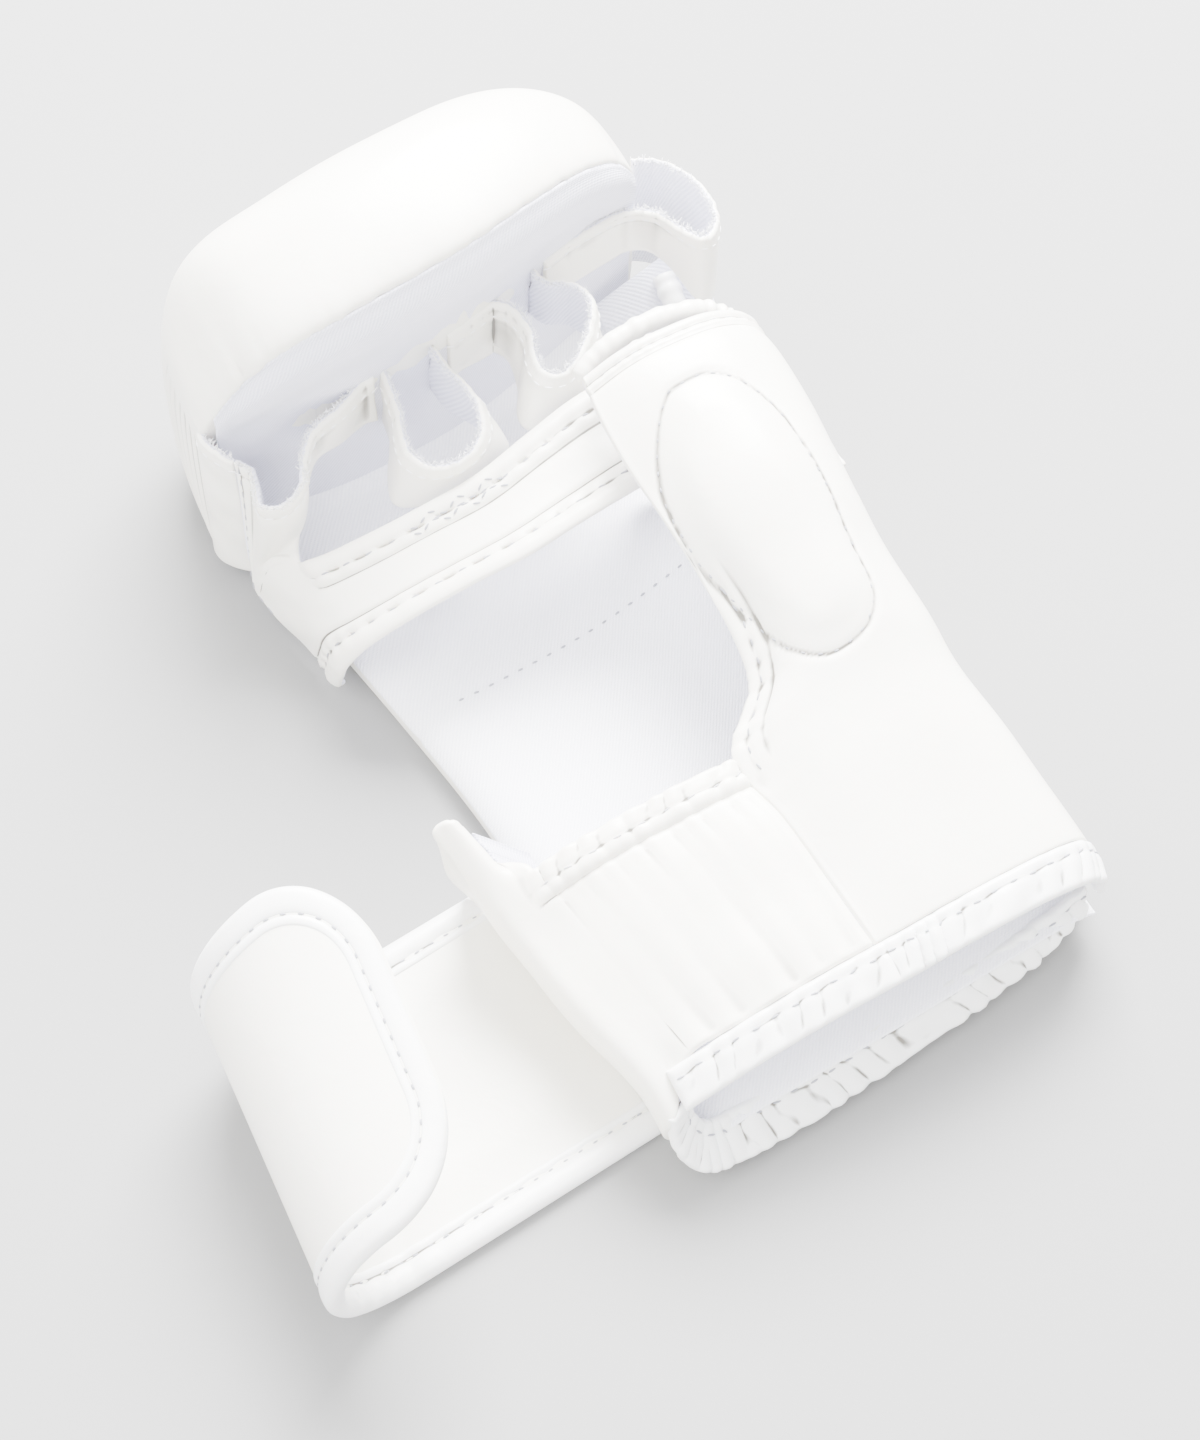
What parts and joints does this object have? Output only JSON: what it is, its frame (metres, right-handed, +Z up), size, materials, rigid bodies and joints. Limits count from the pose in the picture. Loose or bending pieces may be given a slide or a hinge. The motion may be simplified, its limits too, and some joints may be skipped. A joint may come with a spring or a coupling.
{
  "type": "open palm sparring glove",
  "caption": "Right-hand open palm sparring glove in white leather with a padded knuckle bulb, finger loops, thumb sleeve, cuff and a curled closing strap.",
  "frame": {"origin": "point of the floor under the middle of the palm, on the underside of the back padding that the glove lies on", "axes": "+Z up out of the palm, +Y along the hand to the knuckle pad, +X to the thumb"},
  "size_m": [0.2196, 0.259, 0.101],
  "materials": {
    "leather": "smooth semi-gloss white leather",
    "binding": "folded white leather binding, semi-gloss",
    "textile": "cool white twill lining, matte"
  },
  "bodies": {
    "root": {"knuckle_pad": "leather", "back_pad": "leather", "side_gusset": "leather", "finger_loop_pinky": "leather", "finger_loop_ring": "leather", "finger_loop_middle": "leather", "finger_loop_index": "leather", "palm_bar": "leather", "thumb_sleeve": "leather", "thumb_back": "leather", "palm_panel": "leather", "cuff_side": "leather", "strap": "leather", "bar_hem_wrist": "binding", "bar_hem_finger": "binding", "thumb_hem": "binding", "palm_opening_hem": "binding", "wrist_hem_palm": "binding", "wrist_hem_back": "binding", "strap_binding": "binding", "pad_lining": "textile", "hand_lining": "textile"}
  },
  "joints": []
}
